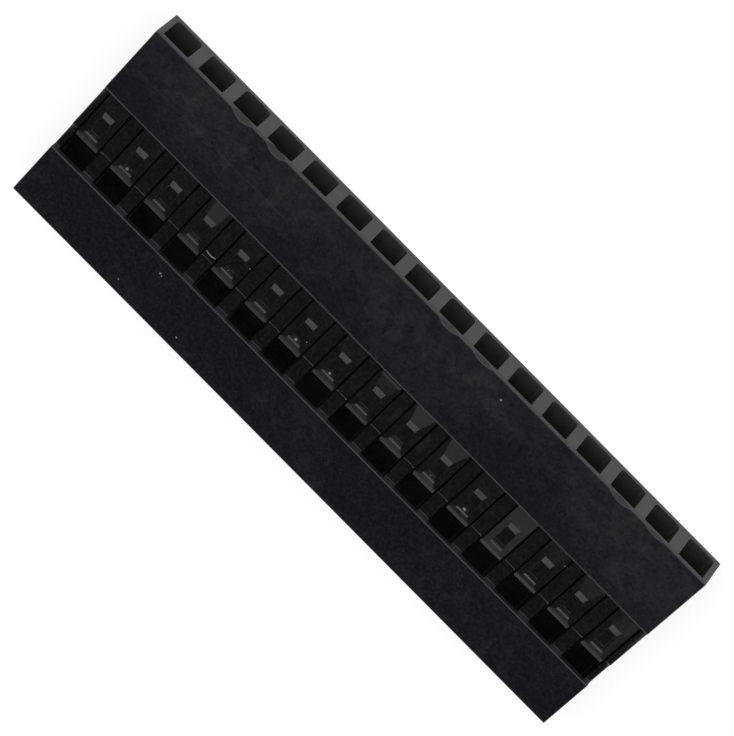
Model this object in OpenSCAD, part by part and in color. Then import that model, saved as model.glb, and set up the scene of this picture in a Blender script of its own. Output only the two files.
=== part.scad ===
// Single-row crimp contact housing: one moulding, with a cavity for each contact.
// The cavities run right through it, from the mating face (-Y), where square pins
// enter, to the wire face (+Y), where crimped contacts are pushed in. In the window of
// each cavity a moulded latch, hinged on the side of the mating face, holds its contact.
// X runs along the row, and +Z looks out of the window face. The housing lies on its
// back, at z = 0, and is centred in X and Y.

/* [Row] */
// Number of contact positions
ways = 16; // [2:1:32]
// Distance between neighbouring positions
pitch = 2.54; // [2.4:0.01:3.2]
// Length left off the row, so that two housings fit end to end
end_relief = 0.06; // [0:0.01:0.3]

/* [Body] */
// Height from the mating face to the wire face
body_h = 13.6; // [12.5:0.1:18]
// Thickness from the back to the window face
body_t = 2.54; // [2.3:0.01:3.2]

/* [Cavities] */
// Width of a cavity
cavity_w = 1.78; // [1.66:0.01:1.9]
// Wall between the cavities and the window face
front_wall = 0.32; // [0.3:0.01:0.45]
// Wall between the cavities and the back
back_wall = 0.3; // [0.22:0.01:0.5]
// Corner radius along the back wall, from the mating face to the stop shelf
back_r = 0.25; // [0.05:0.01:0.4]
// Radius of all the other corners of the cavities
corner_r = 0.08; // [0.03:0.01:0.15]
// Bevel around each cavity at the wire face
lead_in = 0.15; // [0.05:0.01:0.2]
// Distance from the mating face to the shelf that stops a contact
stop_at = 1.8; // [1:0.1:3]
// Length of the stop shelf
stop_l = 0.6; // [0.3:0.1:1]
// Height of the stop shelf above the back wall
stop_h = 0.3; // [0.1:0.05:0.5]

/* [Window strip] */
// Distance from the mating face to the strip that holds the windows
strip_at = 4.77; // [4:0.01:5.5]
// Height of the strip
strip_h = 5.06; // [4.8:0.01:6]
// Depth of the strip below the window face
strip_d = 0.22; // [0.1:0.01:0.3]
// Length of the low part of the ribs, beside the open ends of the windows
low_rib_l = 1.82; // [1:0.01:2.4]
// Depth of the low part of the ribs below the window face
low_rib_d = 0.5; // [0.35:0.01:0.8]
// Length of the bevel on the two edges that step down towards the wire face
edge_l = 0.1; // [0.04:0.01:0.15]
// Drop of that bevel
edge_d = 0.045; // [0.02:0.005:0.08]

/* [Latches] */
// Width of a latch
latch_w = 1.5; // [1.3:0.01:1.56]
// Length of the slit on each side of a latch
latch_l = 3.41; // [3.2:0.01:3.6]
// Distance from the start of the strip to the hinge end of the slits
hinge_at = 0.2; // [0.1:0.01:0.4]
// Depth of a latch below the window face at its hinge
hinge_d = 0.1; // [0.05:0.01:0.2]
// Thickness of a latch at its hinge
hinge_t = 0.4; // [0.3:0.01:0.45]
// Depth of a latch below the window face beside its pocket
latch_d = 0.25; // [0.2:0.01:0.3]
// Distance from the start of the strip to the face that holds the contact
hook_at = 1.05; // [0.8:0.01:1.2]
// Reach of the hook below the window face
hook_d = 0.95; // [0.85:0.01:1.2]
// Length of the hook before its ramp for the contact
hook_l = 1.55; // [1.3:0.01:1.8]
// Thickness of the tip
tip_t = 0.3; // [0.2:0.01:0.4]

/* [Latch pockets] */
// Distance from the start of the strip to the pocket on top of a latch
pocket_at = 1.25; // [1.1:0.01:1.4]
// Length of the pocket, with its ramp
pocket_l = 1.6; // [1.2:0.01:1.7]
// Width of the pocket at its top
pocket_w = 0.72; // [0.4:0.01:0.9]
// Depth of the pocket below the top of the latch
pocket_d = 0.2; // [0.1:0.01:0.3]
// Slope of the ramp at the hinge end of the pocket
pocket_slope = 21; // [14:1:45]
// Draft of the sides of the pocket
pocket_draft = 12; // [0:1:20]

/* [Latch tips] */
// Height of the raised pad at its crest
pad_h = 0.06; // [0.04:0.01:0.13]
// Width of the pad behind its nose
pad_w = 0.84; // [0.6:0.01:1.1]
// Radius of the nose of the pad, seen from the side
nose_r = 0.3; // [0.2:0.01:0.3]
// Sweep of the nose, from upright at its foot to its crest
nose_sweep = 68; // [40:1:75]
// Corner radius of the nose, seen from above
nose_corner_r = 0.12; // [0.08:0.01:0.2]
// Length of the bevel at the free end
bevel_l = 0.3; // [0.1:0.01:0.35]
// Drop of the bevel
bevel_d = 0.09; // [0.03:0.01:0.15]

/* [Mating edge] */
// Height of the lean of the mating face along the edge of the window face
brow_h = 0.34; // [0.1:0.01:0.5]
// How far this lean goes back at the window face
brow_back = 0.02; // [0.01:0.005:0.06]
// Positions that have a crescent scoop in the edge of the window face
scoop_ways = [3, 4, 9, 10, 14, 15];
// How far each of these scoops reaches into the window face
scoop_reach = [0.26, 0.3, 0.22, 0.18, 0.21, 0.14];
// Width of a scoop along the row
scoop_w = 1.5; // [1:0.1:2.3]
// Lean of a scoop's surface from upright
scoop_lean = 38; // [20:1:60]

/* [Hidden] */

$fn = 48;
body_l = ways * pitch - end_relief;
latch_end = hinge_at + latch_l;
bevel_at = latch_end - bevel_l;
pad_at = pocket_at + pocket_l;
pocket_floor = latch_d + pocket_d;
// Overshoot of every cut past the surface that it opens
cut = 0.2;

// Places: the middle of a position counted from the +X end, the height at a distance
// from the mating face or from the start of the strip, and the level at a depth
function way_x(way) = ((ways + 1) / 2 - way) * pitch;
function up_from_mating(s) = s - body_h / 2;
function up_strip(s) = up_from_mating(strip_at + s);
function level(depth) = body_t - depth;
// A point of a latch's side view
function side(s, depth) = [up_strip(s), level(depth)];
// Points along a round stretch of an outline, between two directions from its centre
function arc(centre, r, from, to, steps = 6) =
    [for (i = [0 : steps]) let (a = from + (to - from) * i / steps) centre + r * [cos(a), sin(a)]];

// A side view (Y, Z) drawn out along X, to both sides of x = 0
module along_x(width) {
    rotate([90, 0, 90]) linear_extrude(width, center = true) children();
}

// A front view (X, Z) drawn out along Y, from one height to another
module along_y(from, to) {
    translate([0, to, 0]) rotate([90, 0, 0]) linear_extrude(to - from) children();
}

// A stretch of a cavity, with round corners, that widens all round by growth
module cavity_run(from, to, growth, low_r) {
    mid = (back_wall + level(front_wall)) / 2;
    translate([0, 0, back_wall + low_r])
        linear_extrude(level(front_wall + corner_r) - back_wall - low_r)
            polygon([
                [-cavity_w / 2, from], [cavity_w / 2, from],
                [cavity_w / 2 + growth, to], [-cavity_w / 2 - growth, to]
            ]);
    for (wall = [[back_wall, low_r, -1], [level(front_wall), corner_r, 1]]) {
        face = wall[0];
        r = wall[1];
        outward = wall[2];
        along_x(cavity_w - 2 * r)
            polygon([[from, mid], [to, mid], [to, face + outward * growth], [from, face]]);
        for (side_x = [-1, 1])
            translate([side_x * (cavity_w / 2 - r), from, face - outward * r])
                rotate([-90, 0, 0]) cylinder(h = to - from, r1 = r, r2 = r + growth);
    }
}

// The shelf that a contact's front end rests against, sloped towards the mating face
module stop_shelf() {
    along_x(cavity_w + 2 * cut)
        polygon([
            [up_from_mating(stop_at - stop_h), back_wall],
            [up_from_mating(stop_at), back_wall + stop_h],
            [up_from_mating(stop_at + stop_l), back_wall + stop_h],
            [up_from_mating(stop_at + stop_l), back_wall - cut],
            [up_from_mating(stop_at - stop_h), back_wall - cut]
        ]);
}

// A cavity, with its stop shelf and its bevelled mouth in the wire face
module cavity() {
    difference() {
        union() {
            cavity_run(up_from_mating(-cut), up_from_mating(stop_at + stop_l / 2), 0, back_r);
            cavity_run(up_from_mating(stop_at), body_h / 2 + cut, 0, corner_r);
        }
        stop_shelf();
    }
    cavity_run(body_h / 2 - lead_in, body_h / 2 + cut, lead_in + cut, corner_r);
}

// The opening in the strip over one cavity: two slits and the open end past the latch
module window() {
    translate([-cavity_w / 2, up_strip(hinge_at), level(front_wall + cut)])
        cube([cavity_w, strip_h - hinge_at, front_wall + 2 * cut]);
}

// The recess across the whole row, with its deeper part beside the open window ends
module strip() {
    low_from = strip_h - low_rib_l;
    half = edge_l / 2;
    rise = cut * edge_l / edge_d;
    along_x(body_l + 2 * cut)
        polygon([
            side(-half - rise, -cut),
            side(half, edge_d),
            side(half, strip_d),
            side(low_from - half, strip_d),
            side(low_from + half, strip_d + edge_d),
            side(low_from + half, low_rib_d),
            side(strip_h, low_rib_d),
            side(strip_h, -cut)
        ]);
}

// The pocket in the top of a latch, which keeps its thick hook from sinking
module pocket() {
    run = 1 / tan(pocket_slope);
    taper = tan(pocket_draft);
    half_top = pocket_w / 2 + cut * taper;
    half_floor = pocket_w / 2 - pocket_d * taper;
    intersection() {
        along_x(2 * half_top)
            polygon([
                side(pocket_at - cut * run, latch_d - cut),
                side(pocket_at + pocket_d * run, pocket_floor),
                side(pad_at, pocket_floor),
                side(pad_at, latch_d - cut)
            ]);
        along_y(up_strip(0), up_strip(strip_h))
            polygon([
                [-half_floor, level(pocket_floor)], [half_floor, level(pocket_floor)],
                [half_top, level(latch_d - cut)], [-half_top, level(latch_d - cut)]
            ]);
    }
}

// The side view of the raised pad: a round nose up to its crest, then a slope down
module pad_side() {
    middle_d = latch_d - pad_h + nose_r * sin(nose_sweep);
    foot_d = max(pocket_floor, middle_d);
    polygon(concat(
        [side(pad_at, foot_d)],
        arc(side(pad_at + nose_r, middle_d), nose_r, 180, 180 - nose_sweep),
        [side(bevel_at, latch_d), side(bevel_at, foot_d)]
    ));
}

// One half of the pad seen from above: from its nose it flares to the whole latch
module pad_half() {
    corner = [pad_w / 2 - nose_corner_r, up_strip(pad_at) + nose_corner_r];
    flare = [(latch_w - pad_w) / 2, bevel_at - pad_at - nose_corner_r];
    flare_end = [latch_w / 2, up_strip(bevel_at)];
    polygon(concat(
        [[0, up_strip(pad_at)]],
        arc(corner, nose_corner_r, -90, 0, 4),
        [for (a = [15 : 15 : 90]) flare_end - [flare.x * cos(a), flare.y * (1 - sin(a))]],
        [[0, up_strip(bevel_at)]]
    ));
}

// The raised pad at the tip of a latch, shaped like a bell
module pad() {
    intersection() {
        along_x(latch_w) pad_side();
        linear_extrude(body_t) {
            pad_half();
            mirror([1, 0]) pad_half();
        }
    }
}

// A latch: a plate from the hinge to the tip, with the hook and its ramp underneath
module latch() {
    difference() {
        along_x(latch_w)
            polygon([
                side(-hinge_t, front_wall),
                side(0, hinge_d),
                side(pocket_at, latch_d),
                side(bevel_at, latch_d),
                side(latch_end, latch_d + bevel_d),
                side(latch_end, latch_d + tip_t),
                side(hook_at + hook_l, hook_d),
                side(hook_at, hook_d),
                side(hook_at, hinge_d + hinge_t),
                side(0, hinge_d + hinge_t)
            ]);
        pocket();
    }
    pad();
}

// A crescent scoop in the mating edge of the window face: a leaning round cut
module scoop(reach) {
    sag = reach * cos(scoop_lean);
    round_r = (pow(scoop_w / 2, 2) + pow(sag, 2)) / (2 * sag);
    translate([0, up_from_mating(reach), body_t])
        rotate([-scoop_lean, 0, 0]) translate([0, -round_r, 0])
            cylinder(h = body_t, r = round_r, center = true);
}

// The lean at the top of the mating face, which takes away a thin wedge
module brow() {
    top = brow_back * (brow_h + cut) / brow_h;
    along_x(body_l + 2 * cut)
        polygon([
            [up_from_mating(0), level(brow_h)], [up_from_mating(top), level(-cut)],
            [up_from_mating(-cut), level(-cut)], [up_from_mating(-cut), level(brow_h)]
        ]);
}

module housing() color([0.1, 0.1, 0.11]) {
    difference() {
        translate([-body_l / 2, up_from_mating(0), 0]) cube([body_l, body_h, body_t]);
        strip();
        brow();
        for (way = [1 : ways]) translate([way_x(way), 0, 0]) {
            cavity();
            window();
        }
        for (i = [0 : len(scoop_ways) - 1])
            if (scoop_ways[i] <= ways) translate([way_x(scoop_ways[i]), 0, 0]) scoop(scoop_reach[i]);
    }
    for (way = [1 : ways]) translate([way_x(way), 0, 0]) latch();
}

housing();
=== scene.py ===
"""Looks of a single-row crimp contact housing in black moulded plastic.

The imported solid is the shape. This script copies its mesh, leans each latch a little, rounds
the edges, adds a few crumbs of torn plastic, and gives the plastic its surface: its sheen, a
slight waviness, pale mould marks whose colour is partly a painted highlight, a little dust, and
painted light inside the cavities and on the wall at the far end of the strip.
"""
import math
import random
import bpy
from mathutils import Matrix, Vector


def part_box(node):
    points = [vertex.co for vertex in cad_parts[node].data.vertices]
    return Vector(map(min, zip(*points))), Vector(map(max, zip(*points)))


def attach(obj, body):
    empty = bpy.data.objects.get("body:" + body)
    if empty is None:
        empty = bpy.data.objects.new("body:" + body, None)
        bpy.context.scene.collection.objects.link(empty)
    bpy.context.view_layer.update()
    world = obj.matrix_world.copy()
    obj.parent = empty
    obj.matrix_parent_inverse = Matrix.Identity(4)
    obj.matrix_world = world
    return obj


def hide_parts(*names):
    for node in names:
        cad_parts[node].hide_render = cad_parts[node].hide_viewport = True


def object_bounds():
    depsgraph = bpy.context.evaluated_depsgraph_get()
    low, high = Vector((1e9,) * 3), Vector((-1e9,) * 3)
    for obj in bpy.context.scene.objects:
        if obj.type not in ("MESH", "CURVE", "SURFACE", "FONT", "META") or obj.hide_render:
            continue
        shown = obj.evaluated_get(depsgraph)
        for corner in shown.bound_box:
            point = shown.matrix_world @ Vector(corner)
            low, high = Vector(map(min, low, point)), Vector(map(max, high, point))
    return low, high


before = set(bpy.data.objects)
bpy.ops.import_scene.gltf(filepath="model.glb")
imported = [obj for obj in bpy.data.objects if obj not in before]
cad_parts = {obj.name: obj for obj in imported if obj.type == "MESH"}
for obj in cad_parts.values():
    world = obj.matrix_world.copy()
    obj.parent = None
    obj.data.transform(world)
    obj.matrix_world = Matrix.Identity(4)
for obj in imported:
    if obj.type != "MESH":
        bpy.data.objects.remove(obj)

from types import SimpleNamespace

import bmesh
import bpy
from mathutils import Matrix, Vector
from mathutils.bvhtree import BVHTree

CAD_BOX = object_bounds()
MM = 0.001

# Facts of the part, in millimetres, as its solid is built
WAYS = 16
PITCH = 2.54
BOX_LOW, BOX_HIGH = (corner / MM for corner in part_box("housing"))
BODY_T = BOX_HIGH.z
BACK_WALL = 0.3
FRONT_WALL = 0.32
CAVITY_HALF = 0.89
STRIP_FROM = BOX_LOW.y + 4.77
STRIP_TO = STRIP_FROM + 5.06
HINGE_Y = STRIP_FROM + 0.2
PAD_Y = STRIP_FROM + 2.85
BEVEL_Y = STRIP_FROM + 3.31
LATCH_HALF = 0.75
LATCH_TOP = BODY_T - 0.25
POCKET_FLOOR = BODY_T - 0.45
BROW_FOOT = BODY_T - 0.34
SCOOP_WAYS = (3, 4, 9, 10, 14, 15)

# Limits that tell one part of the shape from another, in millimetres
NEAR = 0.01
PAST_LATCH = STRIP_TO - 0.5
PAST_SCOOPS = BOX_LOW.y + 0.4
LATCH_LEVELS = (1.2, BODY_T - 0.1)
BELOW_STRIP = BODY_T - 0.6
AT_WINDOW_FACE = BODY_T - 0.005


def way_x(way):
    """The middle of a position. Position 1 is at the +X end."""
    return ((WAYS + 1) / 2 - way) * PITCH


def way_at(x):
    """The position whose middle is nearest."""
    return round((WAYS + 1) / 2 - x / PITCH)


# ---------------------------------------------------------------- node words

class Graph:
    """Short words for building a node tree."""

    def __init__(self, tree):
        self.nodes = tree.nodes
        self.links = tree.links

    def add(self, kind, **settings):
        node = self.nodes.new(kind)
        for name, value in settings.items():
            setattr(node, name, value)
        return node

    def feed(self, socket, value):
        """A number is set on the socket, and another node's output is linked to it."""
        if isinstance(value, bpy.types.NodeSocket):
            self.links.new(value, socket)
        else:
            socket.default_value = value

    def math(self, operation, *values):
        node = self.add("ShaderNodeMath", operation=operation)
        for socket, value in zip(node.inputs, values):
            self.feed(socket, value)
        return node.outputs[0]

    def plus(self, value, *others):
        for other in others:
            value = self.math("ADD", value, other)
        return value

    def minus(self, value, other):
        return self.math("SUBTRACT", value, other)

    def times(self, value, *others):
        for other in others:
            value = self.math("MULTIPLY", value, other)
        return value

    def away(self, value, middle):
        """How far a value is from a middle, on either side."""
        return self.math("ABSOLUTE", self.minus(value, middle))

    def above(self, value, limit):
        """1 above the limit and 0 elsewhere."""
        return self.math("GREATER_THAN", value, limit)

    def below(self, value, limit):
        """1 below the limit and 0 elsewhere."""
        return self.math("LESS_THAN", value, limit)

    def remap(self, value, low, high, to_low=0.0, to_high=1.0, smooth=True):
        """Values from low to high become to_low to to_high, and stay there outside."""
        node = self.add("ShaderNodeMapRange")
        node.interpolation_type = "SMOOTHSTEP" if smooth else "LINEAR"
        for name, number in (
            ("From Min", low), ("From Max", high), ("To Min", to_low), ("To Max", to_high),
        ):
            self.feed(node.inputs[name], number)
        self.feed(node.inputs["Value"], value)
        return node.outputs["Result"]

    def ramp(self, value, *stops):
        """Grey levels at places from 0 to 1."""
        node = self.add("ShaderNodeValToRGB")
        steps = node.color_ramp.elements
        while len(steps) < len(stops):
            steps.new(0.5)
        for step, (place, level) in zip(steps, stops):
            step.position = place
            step.color = (level, level, level, 1)
        self.feed(node.inputs[0], value)
        return node.outputs["Color"]

    def noise(self, place, scale, detail, roughness):
        node = self.add("ShaderNodeTexNoise")
        self.feed(node.inputs["Vector"], place)
        self.feed(node.inputs["Scale"], scale)
        self.feed(node.inputs["Detail"], detail)
        self.feed(node.inputs["Roughness"], roughness)
        return node.outputs["Fac"]

    def blend(self, share, first, second):
        """A colour between two colours."""
        node = self.add("ShaderNodeMix", data_type="RGBA")
        self.feed(node.inputs["Factor"], share)
        sockets = [socket for socket in node.inputs if socket.type == "RGBA"]
        for socket, colour in zip(sockets, (first, second)):
            self.feed(socket, (*colour, 1) if isinstance(colour, tuple) else colour)
        return next(socket for socket in node.outputs if socket.type == "RGBA")


# ---------------------------------------------------------------- camera

def look_from(azimuth, elevation, roll):
    """Camera axes as a rotation: azimuth 0 looks along +Y, and roll turns the picture."""
    forward = Vector((
        math.sin(azimuth) * math.cos(elevation),
        math.cos(azimuth) * math.cos(elevation),
        -math.sin(elevation),
    ))
    level = forward.cross(Vector((0, 0, 1))).normalized()
    upright = level.cross(forward)
    right = level * math.cos(roll) + upright * math.sin(roll)
    up = right.cross(forward)
    return Matrix((right, up, -forward)).transposed()


def add_camera():
    """A long lens that looks down at the window face from the side of the mating face."""
    turn = look_from(
        azimuth=math.radians(-1.932), elevation=math.radians(56.129), roll=math.radians(-136.33),
    )
    aim = Vector((0.077, -0.46, 1.27)) * MM
    distance = 217.43 * MM
    lens = bpy.data.cameras.new("camera")
    lens.sensor_width = 36.0
    lens.lens = 200.39
    lens.clip_start = 0.01
    lens.clip_end = 20.0
    camera = bpy.data.objects.new("camera", lens)
    back = turn @ Vector((0, 0, distance))
    camera.matrix_world = Matrix.Translation(aim + back) @ turn.to_4x4()
    bpy.context.scene.collection.objects.link(camera)
    bpy.context.scene.camera = camera


# ---------------------------------------------------------------- studio

def add_softbox(name, centre, size, power):
    """A rectangular lamp that faces the object."""
    lamp = bpy.data.lights.new(name, "AREA")
    lamp.shape = "RECTANGLE"
    lamp.size, lamp.size_y = size
    lamp.energy = power
    softbox = bpy.data.objects.new(name, lamp)
    softbox.location = centre
    softbox.rotation_mode = "QUATERNION"
    softbox.rotation_quaternion = Vector(centre).to_track_quat("Z", "Y")
    bpy.context.scene.collection.objects.link(softbox)


def add_floor():
    """A pale table. It shows white where nothing shades it, and keeps the shadow."""
    half = 3.0
    grey = 0.35
    glow_strength = 0.74
    corners = [(-half, -half, 0), (half, -half, 0), (half, half, 0), (-half, half, 0)]
    mesh = bpy.data.meshes.new("floor")
    mesh.from_pydata(corners, [], [(0, 1, 2, 3)])
    floor = bpy.data.objects.new("floor", mesh)
    bpy.context.scene.collection.objects.link(floor)
    material = bpy.data.materials.new("table")
    material.use_nodes = True
    material.node_tree.nodes.clear()
    graph = Graph(material.node_tree)
    matt = graph.add("ShaderNodeBsdfDiffuse")
    matt.inputs["Color"].default_value = (grey, grey, grey, 1)
    path = graph.add("ShaderNodeLightPath")
    seen = graph.math("MAXIMUM", path.outputs["Is Camera Ray"], path.outputs["Is Glossy Ray"])
    seen = graph.math("MAXIMUM", seen, path.outputs["Is Transmission Ray"])
    glow = graph.add("ShaderNodeEmission")
    graph.feed(glow.inputs["Strength"], graph.times(seen, glow_strength))
    both = graph.add("ShaderNodeAddShader")
    graph.feed(both.inputs[0], matt.outputs[0])
    graph.feed(both.inputs[1], glow.outputs[0])
    out = graph.add("ShaderNodeOutputMaterial")
    graph.feed(out.inputs["Surface"], both.outputs[0])
    mesh.materials.append(material)


def set_world():
    """A white room, with a wide dark card that hangs above the wire face."""
    card_elevation = math.radians(57)
    card = (0.06, math.cos(card_elevation), math.sin(card_elevation))
    card_stretch = 0.4
    world = bpy.data.worlds.new("room")
    bpy.context.scene.world = world
    world.use_nodes = True
    world.node_tree.nodes.clear()
    graph = Graph(world.node_tree)
    direction = graph.add("ShaderNodeTexCoord")
    narrow = graph.add("ShaderNodeVectorMath", operation="MULTIPLY")
    graph.feed(narrow.inputs[0], direction.outputs["Generated"])
    graph.feed(narrow.inputs[1], (card_stretch, 1.0, 1.0))
    aim = graph.add("ShaderNodeVectorMath", operation="NORMALIZE")
    graph.feed(aim.inputs[0], narrow.outputs[0])
    near = graph.add("ShaderNodeVectorMath", operation="DOT_PRODUCT")
    graph.feed(near.inputs[0], aim.outputs[0])
    graph.feed(near.inputs[1], card)
    shade = graph.ramp(near.outputs["Value"], (0.83, 1.0), (0.885, 0.33), (0.95, 0.07))
    sky = graph.add("ShaderNodeBackground")
    graph.feed(sky.inputs["Color"], shade)
    out = graph.add("ShaderNodeOutputWorld")
    graph.feed(out.inputs["Surface"], sky.outputs[0])


# ---------------------------------------------------------------- pale marks, partly painted highlight, and dust

class Mark:
    """A pale, matt mould mark on the window side, tapered along Y; its paler colour is partly a
    painted highlight. Half positions are the ribs.

    It runs from start to end in Y, and its half width goes from half_start to half_end. It shows
    on what lies above a level, and its edges fade over the soft distance.
    """

    def __init__(
        self, way, start, end, half_start, half_end, strength, aside=0.0, above=1.9, soft=0.04,
    ):
        self.middle = way_x(way) + aside
        self.start, self.end = start, end
        self.half_start, self.half_end = half_start, half_end
        self.strength = strength
        self.above = above
        self.soft = soft


# Matt mould marks whose paler colour also paints highlights on latch hinges, pads and ribs
PALE_MARKS = [
    Mark(4, -1.97, -0.77, 0.50, 0.40, 0.85, soft=0.12),
    Mark(9, -1.97, -0.85, 0.60, 0.50, 0.35, soft=0.10),
    Mark(9, -1.83, -1.66, 0.66, 0.66, 1.5),
    Mark(10, -1.97, -0.79, 0.66, 0.36, 1.0),
    Mark(11, -1.97, -0.79, 0.66, 0.36, 0.9),
    Mark(13, -2.00, 1.32, 0.74, 0.74, 0.85, above=LATCH_TOP - 0.02),
    Mark(14, -1.97, -0.85, 0.40, 0.36, 0.2, soft=0.10),
    Mark(15, -1.97, -0.85, 0.66, 0.40, 0.4, soft=0.10),
    Mark(16, -1.97, 1.20, 0.26, 0.26, 0.5, aside=-0.46, soft=0.10),
    Mark(16, -1.97, -0.85, 0.30, 0.30, 0.3, soft=0.10),
    Mark(2, 0.72, 1.28, 0.26, 0.55, 0.30, soft=0.08),
    Mark(7, 0.72, 1.28, 0.26, 0.55, 0.30, soft=0.08),
    Mark(4, 0.72, 1.28, 0.30, 0.55, 0.25, soft=0.08),
    Mark(10, 0.72, 1.28, 0.36, 0.60, 0.65, soft=0.08),
    Mark(11, 0.72, 1.28, 0.22, 0.55, 0.70, soft=0.08),
    Mark(15, 0.90, 1.45, 0.45, 0.66, 0.45, soft=0.08),
    Mark(16, 0.90, 1.55, 0.45, 0.70, 0.55, soft=0.08),
    Mark(3, -4.27, -4.20, 5.60, 5.60, 0.35, soft=0.03),
    Mark(9.5, -0.90, 0.25, 0.16, 0.16, 0.35, aside=-0.2, soft=0.12),
    Mark(10.5, -0.90, 0.25, 0.16, 0.16, 0.35, aside=0.2, soft=0.12),
]


def mark_mask(graph, spot, mark):
    """The mark's strength on it, and 0 elsewhere."""
    soft = mark.soft
    across = graph.away(spot.x, mark.middle)
    half = graph.remap(spot.y, mark.start, mark.end, mark.half_start, mark.half_end, smooth=False)
    inside = graph.remap(graph.minus(half, across), -soft, soft)
    after_start = graph.remap(spot.y, mark.start - soft, mark.start + soft)
    before_end = graph.remap(spot.y, mark.end - soft, mark.end + soft, 1.0, 0.0)
    top = graph.above(spot.z, mark.above)
    return graph.times(inside, after_start, before_end, top, mark.strength)


# Specks of dust on the window face and the latches: x, y and radius
SPECKS = [
    (-5.95, -5.87, 0.085),
    (11.4, 3.85, 0.08),
    (11.25, 3.93, 0.05),
    (12.8, 6.05, 0.06),
    (8.4, 6.05, 0.07),
    (-0.14, 2.95, 0.06),
    (4.63, 0.35, 0.05),
    (-5.55, 1.38, 0.06),
    (3.3, 0.42, 0.04),
    (8.15, -0.27, 0.05),
]


def speck_mask(graph, spot):
    """1 on one of the specks, on the window side only, and 0 elsewhere."""
    mask = 0.0
    for middle_x, middle_y, radius in SPECKS:
        across = graph.math("POWER", graph.away(spot.x, middle_x), 2.0)
        along = graph.math("POWER", graph.away(spot.y, middle_y), 2.0)
        reach = graph.math("SQRT", graph.plus(across, along))
        mask = graph.math("MAXIMUM", graph.remap(reach, radius * 0.6, radius, 1.0, 0.0), mask)
    return graph.times(mask, graph.above(spot.z, LATCH_TOP - 0.1))


def grit_mask(graph, spot):
    """1 on small grains at places left to chance, and 0 elsewhere."""
    cells_per_mm = 0.7
    largest = 0.075
    grains = graph.add("ShaderNodeTexVoronoi")
    graph.feed(grains.inputs["Vector"], spot.place)
    graph.feed(grains.inputs["Scale"], cells_per_mm)
    pick = graph.add("ShaderNodeSeparateColor")
    graph.feed(pick.inputs[0], grains.outputs["Color"])
    radius = graph.remap(pick.outputs["Red"], 0.45, 1.0, 0.0, largest * cells_per_mm, smooth=False)
    return graph.below(grains.outputs["Distance"], radius)


def dust_mask(graph, spot):
    """The specks, and the grit on everything below the strip."""
    grit = graph.times(grit_mask(graph, spot), graph.below(spot.z, BELOW_STRIP))
    return graph.math("MAXIMUM", grit, speck_mask(graph, spot))


# ---------------------------------------------------------------- plastic

# Colours of the plastic and what lies on it, and painted light in the cavities, on the end wall of
# the strip and in the pale marks
VIOLET_BLACK = (0.0018, 0.0015, 0.0030)
BROWN_BLACK = (0.0022, 0.0018, 0.0019)
PANEL_VIOLET = (0.0066, 0.0054, 0.0108)
PANEL_BROWN = (0.0066, 0.0054, 0.0086)
WIRE_PANEL = (0.0052, 0.0040, 0.0076)
FLECK_GREY = (0.0140, 0.0132, 0.0158)
# Painted highlight on the wall at the far end of the strip, where light falls from the mating side
END_WALL_PAINTED_LIGHT = (0.020, 0.019, 0.022)
# Pale marks: partly the marks' own grey, partly a painted highlight
MARK_GREY_AND_PAINTED_HIGHLIGHT = (0.0150, 0.0145, 0.0170)
# Painted light: the inside of the cavities near the mouth, paler where light comes in at the
# mating face
MOUTH_PAINTED_LIGHT = (0.0175, 0.0150, 0.0132)
# Painted bounce light, deep inside the cavities
DEEP_PAINTED_LIGHT = (0.0045, 0.0043, 0.0040)
DUST_GREY = (0.20, 0.20, 0.19)
TORN_GREY = (0.16, 0.16, 0.175)

BASE_ROUGHNESS = 0.22
LEAST_ROUGHNESS = 0.12


def find_spot(graph):
    """A point of the surface in millimetres, and the noises and the luck that go with it."""
    where = graph.add("ShaderNodeTexCoord")
    in_mm = graph.add("ShaderNodeVectorMath", operation="SCALE")
    graph.feed(in_mm.inputs[0], where.outputs["Object"])
    in_mm.inputs["Scale"].default_value = 1 / MM
    place = in_mm.outputs[0]
    split = graph.add("ShaderNodeSeparateXYZ")
    graph.feed(split.inputs[0], place)
    x, y, z = split.outputs

    # The cell of the row that the point is in, and the distance from the middle of that cell
    cell = graph.math("FLOOR", graph.math("DIVIDE", x, PITCH))
    aside = graph.away(x, graph.times(graph.plus(cell, 0.5), PITCH))
    luck = graph.add("ShaderNodeTexWhiteNoise", noise_dimensions="1D")
    graph.feed(luck.inputs["W"], cell)
    return SimpleNamespace(
        place=place, x=x, y=y, z=z, aside=aside, luck=luck.outputs["Value"],
        cloud=graph.noise(place, 0.30, 3.0, 0.6),
        smudge=graph.noise(place, 1.3, 4.0, 0.65),
        grain=graph.noise(place, 9.0, 2.0, 0.6),
        fleck=graph.noise(place, 5.0, 3.0, 0.9),
        peel=graph.noise(place, 1.1, 1.0, 0.4),
    )


def cavity_masks(graph, spot, beside):
    """The inside of the cavities near the mating face, where light from the mouth is painted, all
    that lies deep in the cavities, and its far part, where faint bounce light is painted.
    """
    middle = (BACK_WALL + BODY_T - FRONT_WALL) / 2
    half_height = (BODY_T - FRONT_WALL - BACK_WALL) / 2
    within = graph.below(graph.away(spot.z, middle), half_height + NEAR)
    # The painted light of the mouth fades out over this span, and the far part starts
    near_pins = graph.remap(spot.y, -3.4, -2.4, 1.0, 0.0)
    behind_face = graph.above(spot.y, BOX_LOW.y + 0.03)
    lit_mouth = graph.times(beside, within, near_pins, behind_face)
    deep = graph.times(beside, graph.below(spot.z, POCKET_FLOOR - 0.15), graph.above(spot.z, 0.2))
    return lit_mouth, deep, graph.times(deep, graph.minus(1.0, near_pins))


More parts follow.
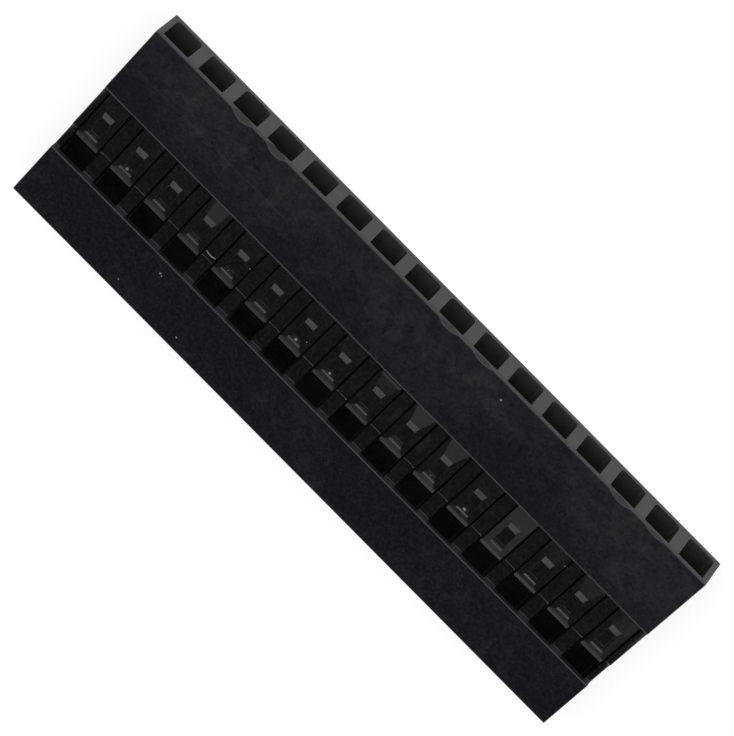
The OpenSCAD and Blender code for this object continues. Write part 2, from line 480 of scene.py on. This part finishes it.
def end_wall_mask(graph, spot, beside):
    """The wall at the far end of the strip, at half strength over the cavities. Its grey colour is
    a painted highlight from light falling on this wall from the mating side, and the half strength
    over the cavities is painted shade where it faces the dark holes.
    """
    at_wall = graph.remap(graph.away(spot.y, STRIP_TO), 0.03, 0.06, 1.0, 0.0)
    above_foot = graph.above(spot.z, BODY_T - 0.49)
    below_edge = graph.below(spot.z, BODY_T - 0.03)
    between = graph.minus(1.0, graph.times(beside, 0.5))
    return graph.times(at_wall, above_foot, below_edge, between)


def tip_mask(graph, spot):
    """The pads at the tips of the latches, with the bevel behind them."""
    pad_half = graph.remap(spot.y, PAD_Y, BEVEL_Y, 0.32, LATCH_HALF, smooth=False)
    return graph.times(
        graph.remap(graph.minus(pad_half, spot.aside), -0.04, 0.04),
        graph.remap(spot.y, PAD_Y - 0.12, PAD_Y - 0.04),
        graph.remap(spot.y, BEVEL_Y + 0.3, BEVEL_Y + 0.36, 1.0, 0.0),
        graph.above(spot.z, POCKET_FLOOR - 0.1),
    )


def strip_edge_mask(graph, spot):
    """The edges of the two panels along the strip."""
    from_edge = graph.math(
        "MINIMUM", graph.away(spot.y, STRIP_FROM), graph.away(spot.y, STRIP_TO),
    )
    return graph.times(
        graph.remap(from_edge, 0.06, 0.10, 1.0, 0.0), graph.above(spot.z, BODY_T - 0.12),
    )


def find_masks(graph, spot):
    """Where the surface has a look of its own: above 0 there, and 0 elsewhere."""
    pale = 0.0
    for mark in PALE_MARKS:
        pale = graph.math("MAXIMUM", mark_mask(graph, spot, mark), pale)
    beside = graph.below(spot.aside, CAVITY_HALF + NEAR)
    lit_mouth, deep, far_in = cavity_masks(graph, spot, beside)
    window_side = graph.above(spot.z, BODY_T - 0.06)
    before_strip = graph.remap(spot.y, STRIP_FROM - 0.02, STRIP_FROM, 1.0, 0.0)
    return SimpleNamespace(
        pale=pale, lit_mouth=lit_mouth, deep=deep, far_in=far_in, window_side=window_side,
        end_wall=end_wall_mask(graph, spot, beside),
        tip=tip_mask(graph, spot),
        strip_edge=strip_edge_mask(graph, spot),
        panel=graph.times(before_strip, window_side),
        wire_panel=graph.times(graph.above(spot.y, STRIP_TO - NEAR), window_side),
        dust=dust_mask(graph, spot),
    )


def panel_roughness(graph, spot):
    """What the panel by the mating face has on top: more towards that face, and in slow waves."""
    fade = graph.remap(spot.y, -5.2, STRIP_FROM, 0.085, 0.0, smooth=False)
    wave_length = 15.6
    from_crest = graph.minus(spot.x, way_x(3.3))
    wave = graph.math("COSINE", graph.times(from_crest, 2 * math.pi / wave_length))
    sway = graph.times(wave, graph.remap(spot.y, -6.0, -3.0, 0.01, 0.06))

    # A more matt border, which each position of the row has to its own depth
    border = graph.plus(graph.times(spot.luck, 2.4), graph.times(spot.smudge, 2.4))
    past_border = graph.minus(graph.minus(spot.y, -6.4), border)
    matt = graph.remap(past_border, -0.15, 0.15, 0.05, 0.0)
    return graph.plus(fade, sway, matt)


def find_roughness(graph, spot, masks):
    mottle = graph.plus(
        graph.times(spot.cloud, 0.14),
        graph.times(spot.smudge, 0.24),
        graph.times(spot.fleck, 0.22),
        graph.remap(spot.y, 5.9, 6.8, 0.0, 0.08),
    )

    # The tips are more matt than the rest, most of all near position 1
    tip_matt = graph.remap(spot.x, way_x(13), way_x(8), 0.04, 0.18)
    roughness = graph.plus(
        BASE_ROUGHNESS,
        graph.times(masks.panel, panel_roughness(graph, spot)),
        graph.times(graph.minus(mottle, 0.30), masks.window_side),
        graph.times(graph.minus(spot.cloud, 0.5), 0.20),
        graph.times(graph.minus(spot.smudge, 0.5), 0.20),
        graph.times(masks.pale, 0.26),
        graph.times(masks.lit_mouth, 0.3),
        graph.times(masks.deep, 0.06),
        graph.times(masks.end_wall, 0.3),
        graph.times(masks.tip, tip_matt),
        graph.times(masks.strip_edge, 0.20),
        graph.times(masks.dust, 0.5),
    )
    return graph.math("MAXIMUM", roughness, LEAST_ROUGHNESS)


def find_colour(graph, spot, masks):
    """Black that turns from violet to brown, with paler zones, marks, dust and torn plastic, and
    with painted light in the cavities, on the wall at the far end of the strip and in the marks.
    """
    torn = graph.add("ShaderNodeAttribute", attribute_name="torn")
    tint = graph.remap(spot.cloud, 0.38, 0.62)
    colour = graph.blend(tint, VIOLET_BLACK, BROWN_BLACK)
    layers = (
        (masks.panel, graph.blend(tint, PANEL_VIOLET, PANEL_BROWN)),
        (masks.wire_panel, WIRE_PANEL),
        (graph.remap(spot.fleck, 0.42, 0.62, 0.0, 0.55), FLECK_GREY),
        # Painted highlight on the wall at the far end of the strip, half over the cavities
        (masks.end_wall, END_WALL_PAINTED_LIGHT),
        # Pale marks, partly a painted highlight
        (graph.times(masks.pale, 0.7), MARK_GREY_AND_PAINTED_HIGHLIGHT),
        # Painted light inside the cavities: paler near the mouth
        (masks.lit_mouth, MOUTH_PAINTED_LIGHT),
        # Painted bounce light far inside the cavities
        (masks.far_in, DEEP_PAINTED_LIGHT),
        (graph.times(masks.dust, 0.8), DUST_GREY),
        (torn.outputs["Fac"], TORN_GREY),
    )
    for share, layer in layers:
        colour = graph.blend(share, colour, layer)
    return colour


def find_relief(graph, spot):
    """Heights in millimetres: grain, a slight waviness, and a fine line between positions."""
    line = graph.remap(spot.aside, PITCH / 2 - 0.03, PITCH / 2, 0.0, 0.004)
    line = graph.times(line, graph.above(spot.y, STRIP_FROM))
    return graph.plus(graph.times(spot.grain, 0.0025), graph.times(spot.peel, 0.006), line)


def black_plastic():
    """Satin black plastic, as it comes from the mould, with painted light in its cavities, on the
    wall at the far end of the strip and in its pale marks.
    """
    material = bpy.data.materials.new("black_plastic_moulded")
    material.use_nodes = True
    graph = Graph(material.node_tree)
    shader = material.node_tree.nodes["Principled BSDF"]
    spot = find_spot(graph)
    masks = find_masks(graph, spot)
    graph.feed(shader.inputs["Roughness"], find_roughness(graph, spot, masks))
    graph.feed(shader.inputs["Base Color"], find_colour(graph, spot, masks))
    bump = graph.add("ShaderNodeBump")
    bump.inputs["Strength"].default_value = 1.0
    bump.inputs["Distance"].default_value = MM
    graph.feed(bump.inputs["Height"], find_relief(graph, spot))
    graph.feed(shader.inputs["Normal"], bump.outputs[0])
    return material


# ---------------------------------------------------------------- rounded edges

LARGEST_RADIUS = 0.07
ROUND_STEP = math.radians(25)
LEAST_EDGE_ANGLE = math.radians(4)


def clean_mesh(source):
    """The node's mesh as a bmesh in millimetres, with flat faces in one piece."""
    bm = bmesh.new()
    bm.from_mesh(source)
    bmesh.ops.scale(bm, vec=Vector((1, 1, 1)) / MM, verts=bm.verts)
    bmesh.ops.remove_doubles(bm, verts=bm.verts, dist=0.001)
    bmesh.ops.dissolve_limit(bm, angle_limit=math.radians(0.5), verts=bm.verts, edges=bm.edges)
    return bm


def lean_latches(bm):
    """Each latch leans up or down by a fraction of a degree."""
    dice = random.Random(7)
    lean = [math.radians(dice.uniform(-0.6, 0.9)) for way in range(WAYS)]
    lowest, highest = LATCH_LEVELS
    for vert in bm.verts:
        way = way_at(vert.co.x)
        across = abs(vert.co.x - way_x(way))
        if across < LATCH_HALF + NEAR and HINGE_Y < vert.co.y < PAST_LATCH:
            if lowest < vert.co.z < highest:
                vert.co.z -= math.tan(lean[way - 1]) * (vert.co.y - HINGE_Y)


def edge_radius(edge):
    """How round an edge is, in millimetres, from where it runs and which way it turns.

    0 stands for the edges between the flats of a round stretch, which are only shaded smooth.
    """
    middle = (edge.verts[0].co + edge.verts[1].co) / 2
    along_row = abs((edge.verts[1].co - edge.verts[0].co).normalized().x) > 0.99
    angle = edge.calc_face_angle_signed()
    way = way_at(middle.x)
    aside = abs(middle.x - way_x(way))
    on_latch = aside < LATCH_HALF + NEAR and middle.z > POCKET_FLOOR - NEAR
    on_latch = on_latch and HINGE_Y - NEAR < middle.y < PAST_LATCH
    on_window_face = middle.z > AT_WINDOW_FACE

    # The round nose and flared sides of a pad
    if on_latch and PAD_Y - NEAR < middle.y < BEVEL_Y - NEAR and abs(angle) < ROUND_STEP:
        return 0

    # The mating edge at a scoop, where thin faces leave no room for more
    if way in SCOOP_WAYS and aside < CAVITY_HALF + NEAR:
        if middle.y < PAST_SCOOPS and middle.z > 0.25:
            return 0.02 if on_window_face else 0.008

    # Inner corners: at the two ends of the strip, and elsewhere
    if angle < 0:
        if abs(middle.y - STRIP_TO) < NEAR and middle.z > BELOW_STRIP:
            return 0.03
        if along_row and abs(middle.y - STRIP_FROM) < 0.06 and middle.z > BODY_T - 0.15:
            return 0.05
        return 0.006 if along_row or angle < -ROUND_STEP else 0

    # Outer edges: latches, window face, mating face, edges along the row, and the rest
    if on_latch and not along_row:
        return 0.008
    if on_window_face:
        if middle.y < PAST_SCOOPS:
            return 0.035
        return 0.045 if abs(middle.y - STRIP_FROM) < 0.1 else LARGEST_RADIUS
    if middle.y < BOX_LOW.y + NEAR and angle > ROUND_STEP:
        return 0.045
    if along_row:
        return 0.012 if abs(middle.y) < STRIP_TO else 0.02
    if angle < ROUND_STEP:
        return 0
    if abs(middle.x) > BOX_HIGH.x - NEAR or abs(middle.y) > BOX_HIGH.y - NEAR:
        return 0.06
    return 0.008 if middle.z > BELOW_STRIP else 0.025


def weigh_edges(bm):
    """Marks each real edge with its radius, as a share of the largest."""
    weights = bm.edges.layers.float.new("bevel_weight_edge")
    for edge in bm.edges:
        if edge.is_manifold and edge.calc_face_angle() > LEAST_EDGE_ANGLE:
            edge[weights] = edge_radius(edge) / LARGEST_RADIUS


def at_brow_foot(vert):
    """Whether a corner is on the line of the mating face where its lean starts."""
    return vert.co.y < BOX_LOW.y + NEAR and abs(vert.co.z - BROW_FOOT) < 0.002


def round_edges(bm):
    """A new mesh, with the weighed edges rounded."""
    mesh = bpy.data.meshes.new("housing_sharp")
    bm.to_mesh(mesh)
    rough = bpy.data.objects.new("housing_sharp", mesh)
    bpy.context.scene.collection.objects.link(rough)
    bevel = rough.modifiers.new("round", "BEVEL")
    bevel.width = LARGEST_RADIUS * MM
    bevel.segments = 3
    bevel.limit_method = "WEIGHT"
    bevel.use_clamp_overlap = False
    bevel.loop_slide = True
    bpy.context.view_layer.update()
    whole = rough.evaluated_get(bpy.context.evaluated_depsgraph_get())
    rounded = bpy.data.meshes.new_from_object(whole)
    rounded.name = "housing_skin"
    bpy.data.objects.remove(rough)
    return rounded


def settle(mesh, surface, reach):
    """Corners that the bevel threw off go back to the surface, and none leaves the CAD box."""
    low, high = CAD_BOX
    for vert in mesh.vertices:
        spot, normal, face, distance = surface.find_nearest(vert.co)
        if distance > reach:
            vert.co = spot
        vert.co = [min(max(place, least), most) for place, least, most in zip(vert.co, low, high)]


# ---------------------------------------------------------------- torn plastic

# Crumbs on the latches: position, aside, Y, depth below the window face, and half sizes.
# Most are nibs on the nose of a pad.
CRUMBS = [
    (2, 0.0, PAD_Y - 0.01, 0.30, (0.10, 0.08, 0.12)),
    (5, 0.04, PAD_Y + 0.01, 0.32, (0.05, 0.04, 0.06)),
    (7, 0.0, PAD_Y - 0.01, 0.30, (0.11, 0.09, 0.14)),
    (8, 0.0, PAD_Y - 0.01, 0.30, (0.09, 0.07, 0.12)),
    (11, 0.0, PAD_Y + 0.01, 0.32, (0.05, 0.04, 0.06)),
    (12, 0.0, PAD_Y - 0.01, 0.30, (0.13, 0.09, 0.13)),
    (11, 0.73, 1.35, 0.30, (0.05, 0.05, 0.04)),
    (14, -0.72, -1.247, 0.2, (0.025, 0.11, 0.03)),
]

# The curl of flash on a rib: a row of beads that run into each other
CURL_RIB = 4.5
CURL_BEADS = 7
CURL_HALF = 0.28
CURL_Y = 0.865
CURL_BOW = 0.05
CURL_DEPTH = 0.2


def add_crumb(bm, torn, spot, size, seed):
    """A lumpy ball, stretched to its half sizes. Its place and sizes are in millimetres."""
    dice = random.Random(seed)
    place = Matrix.Translation(spot * MM) @ Matrix.Diagonal((*(size * MM), 1))
    made = bmesh.ops.create_icosphere(bm, subdivisions=2, radius=1.0)
    for vert in made["verts"]:
        vert.co *= dice.uniform(0.75, 1.0)
        vert[torn] = 1.0
    bmesh.ops.transform(bm, matrix=place, verts=made["verts"])
    for face in {face for vert in made["verts"] for face in vert.link_faces}:
        face.smooth = True


def add_torn_plastic(mesh):
    """Crumbs on the latches, and the curl of flash."""
    bm = bmesh.new()
    bm.from_mesh(mesh)
    torn = bm.verts.layers.float.new("torn")
    for seed, (way, aside, y, depth, size) in enumerate(CRUMBS):
        spot = Vector((way_x(way) + aside, y, BODY_T - depth))
        add_crumb(bm, torn, spot, Vector(size), seed)
    half_row = (CURL_BEADS - 1) / 2
    for bead in range(CURL_BEADS):
        across = (bead - half_row) / half_row
        x = way_x(CURL_RIB) - CURL_HALF * across
        y = CURL_Y - CURL_BOW * across * across
        size = Vector((0.06, 0.06 - 0.015 * abs(across), 0.045))
        add_crumb(bm, torn, Vector((x, y, BODY_T - CURL_DEPTH)), size, bead)
    bm.to_mesh(mesh)
    bm.free()


# ---------------------------------------------------------------- housing

def dress_housing(material):
    """The whole moulding: the node's shape with rounded edges, torn plastic and its material."""
    bm = clean_mesh(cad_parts["housing"].data)
    for face in bm.faces:
        face.smooth = True
    for edge in bm.edges:
        edge.smooth = not all(at_brow_foot(vert) for vert in edge.verts)
    lean_latches(bm)
    weigh_edges(bm)
    bmesh.ops.scale(bm, vec=Vector((1, 1, 1)) * MM, verts=bm.verts)
    surface = BVHTree.FromBMesh(bm)
    skin_mesh = round_edges(bm)
    bm.free()
    settle(skin_mesh, surface, 0.05 * MM)
    add_torn_plastic(skin_mesh)
    skin_mesh.materials.clear()
    skin_mesh.materials.append(material)
    skin = bpy.data.objects.new("housing_skin", skin_mesh)
    bpy.context.scene.collection.objects.link(skin)
    flat = skin.modifiers.new("flat_faces", "WEIGHTED_NORMAL")
    flat.weight = 100
    flat.keep_sharp = True
    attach(skin, "root")
    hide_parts("housing")


# ---------------------------------------------------------------- scene

add_camera()
set_world()
add_floor()
add_softbox("key", centre=(0.05, -0.25, 0.5), size=(0.6, 0.45), power=0.9)
dress_housing(black_plastic())

bpy.context.scene.view_settings.view_transform = "Standard"
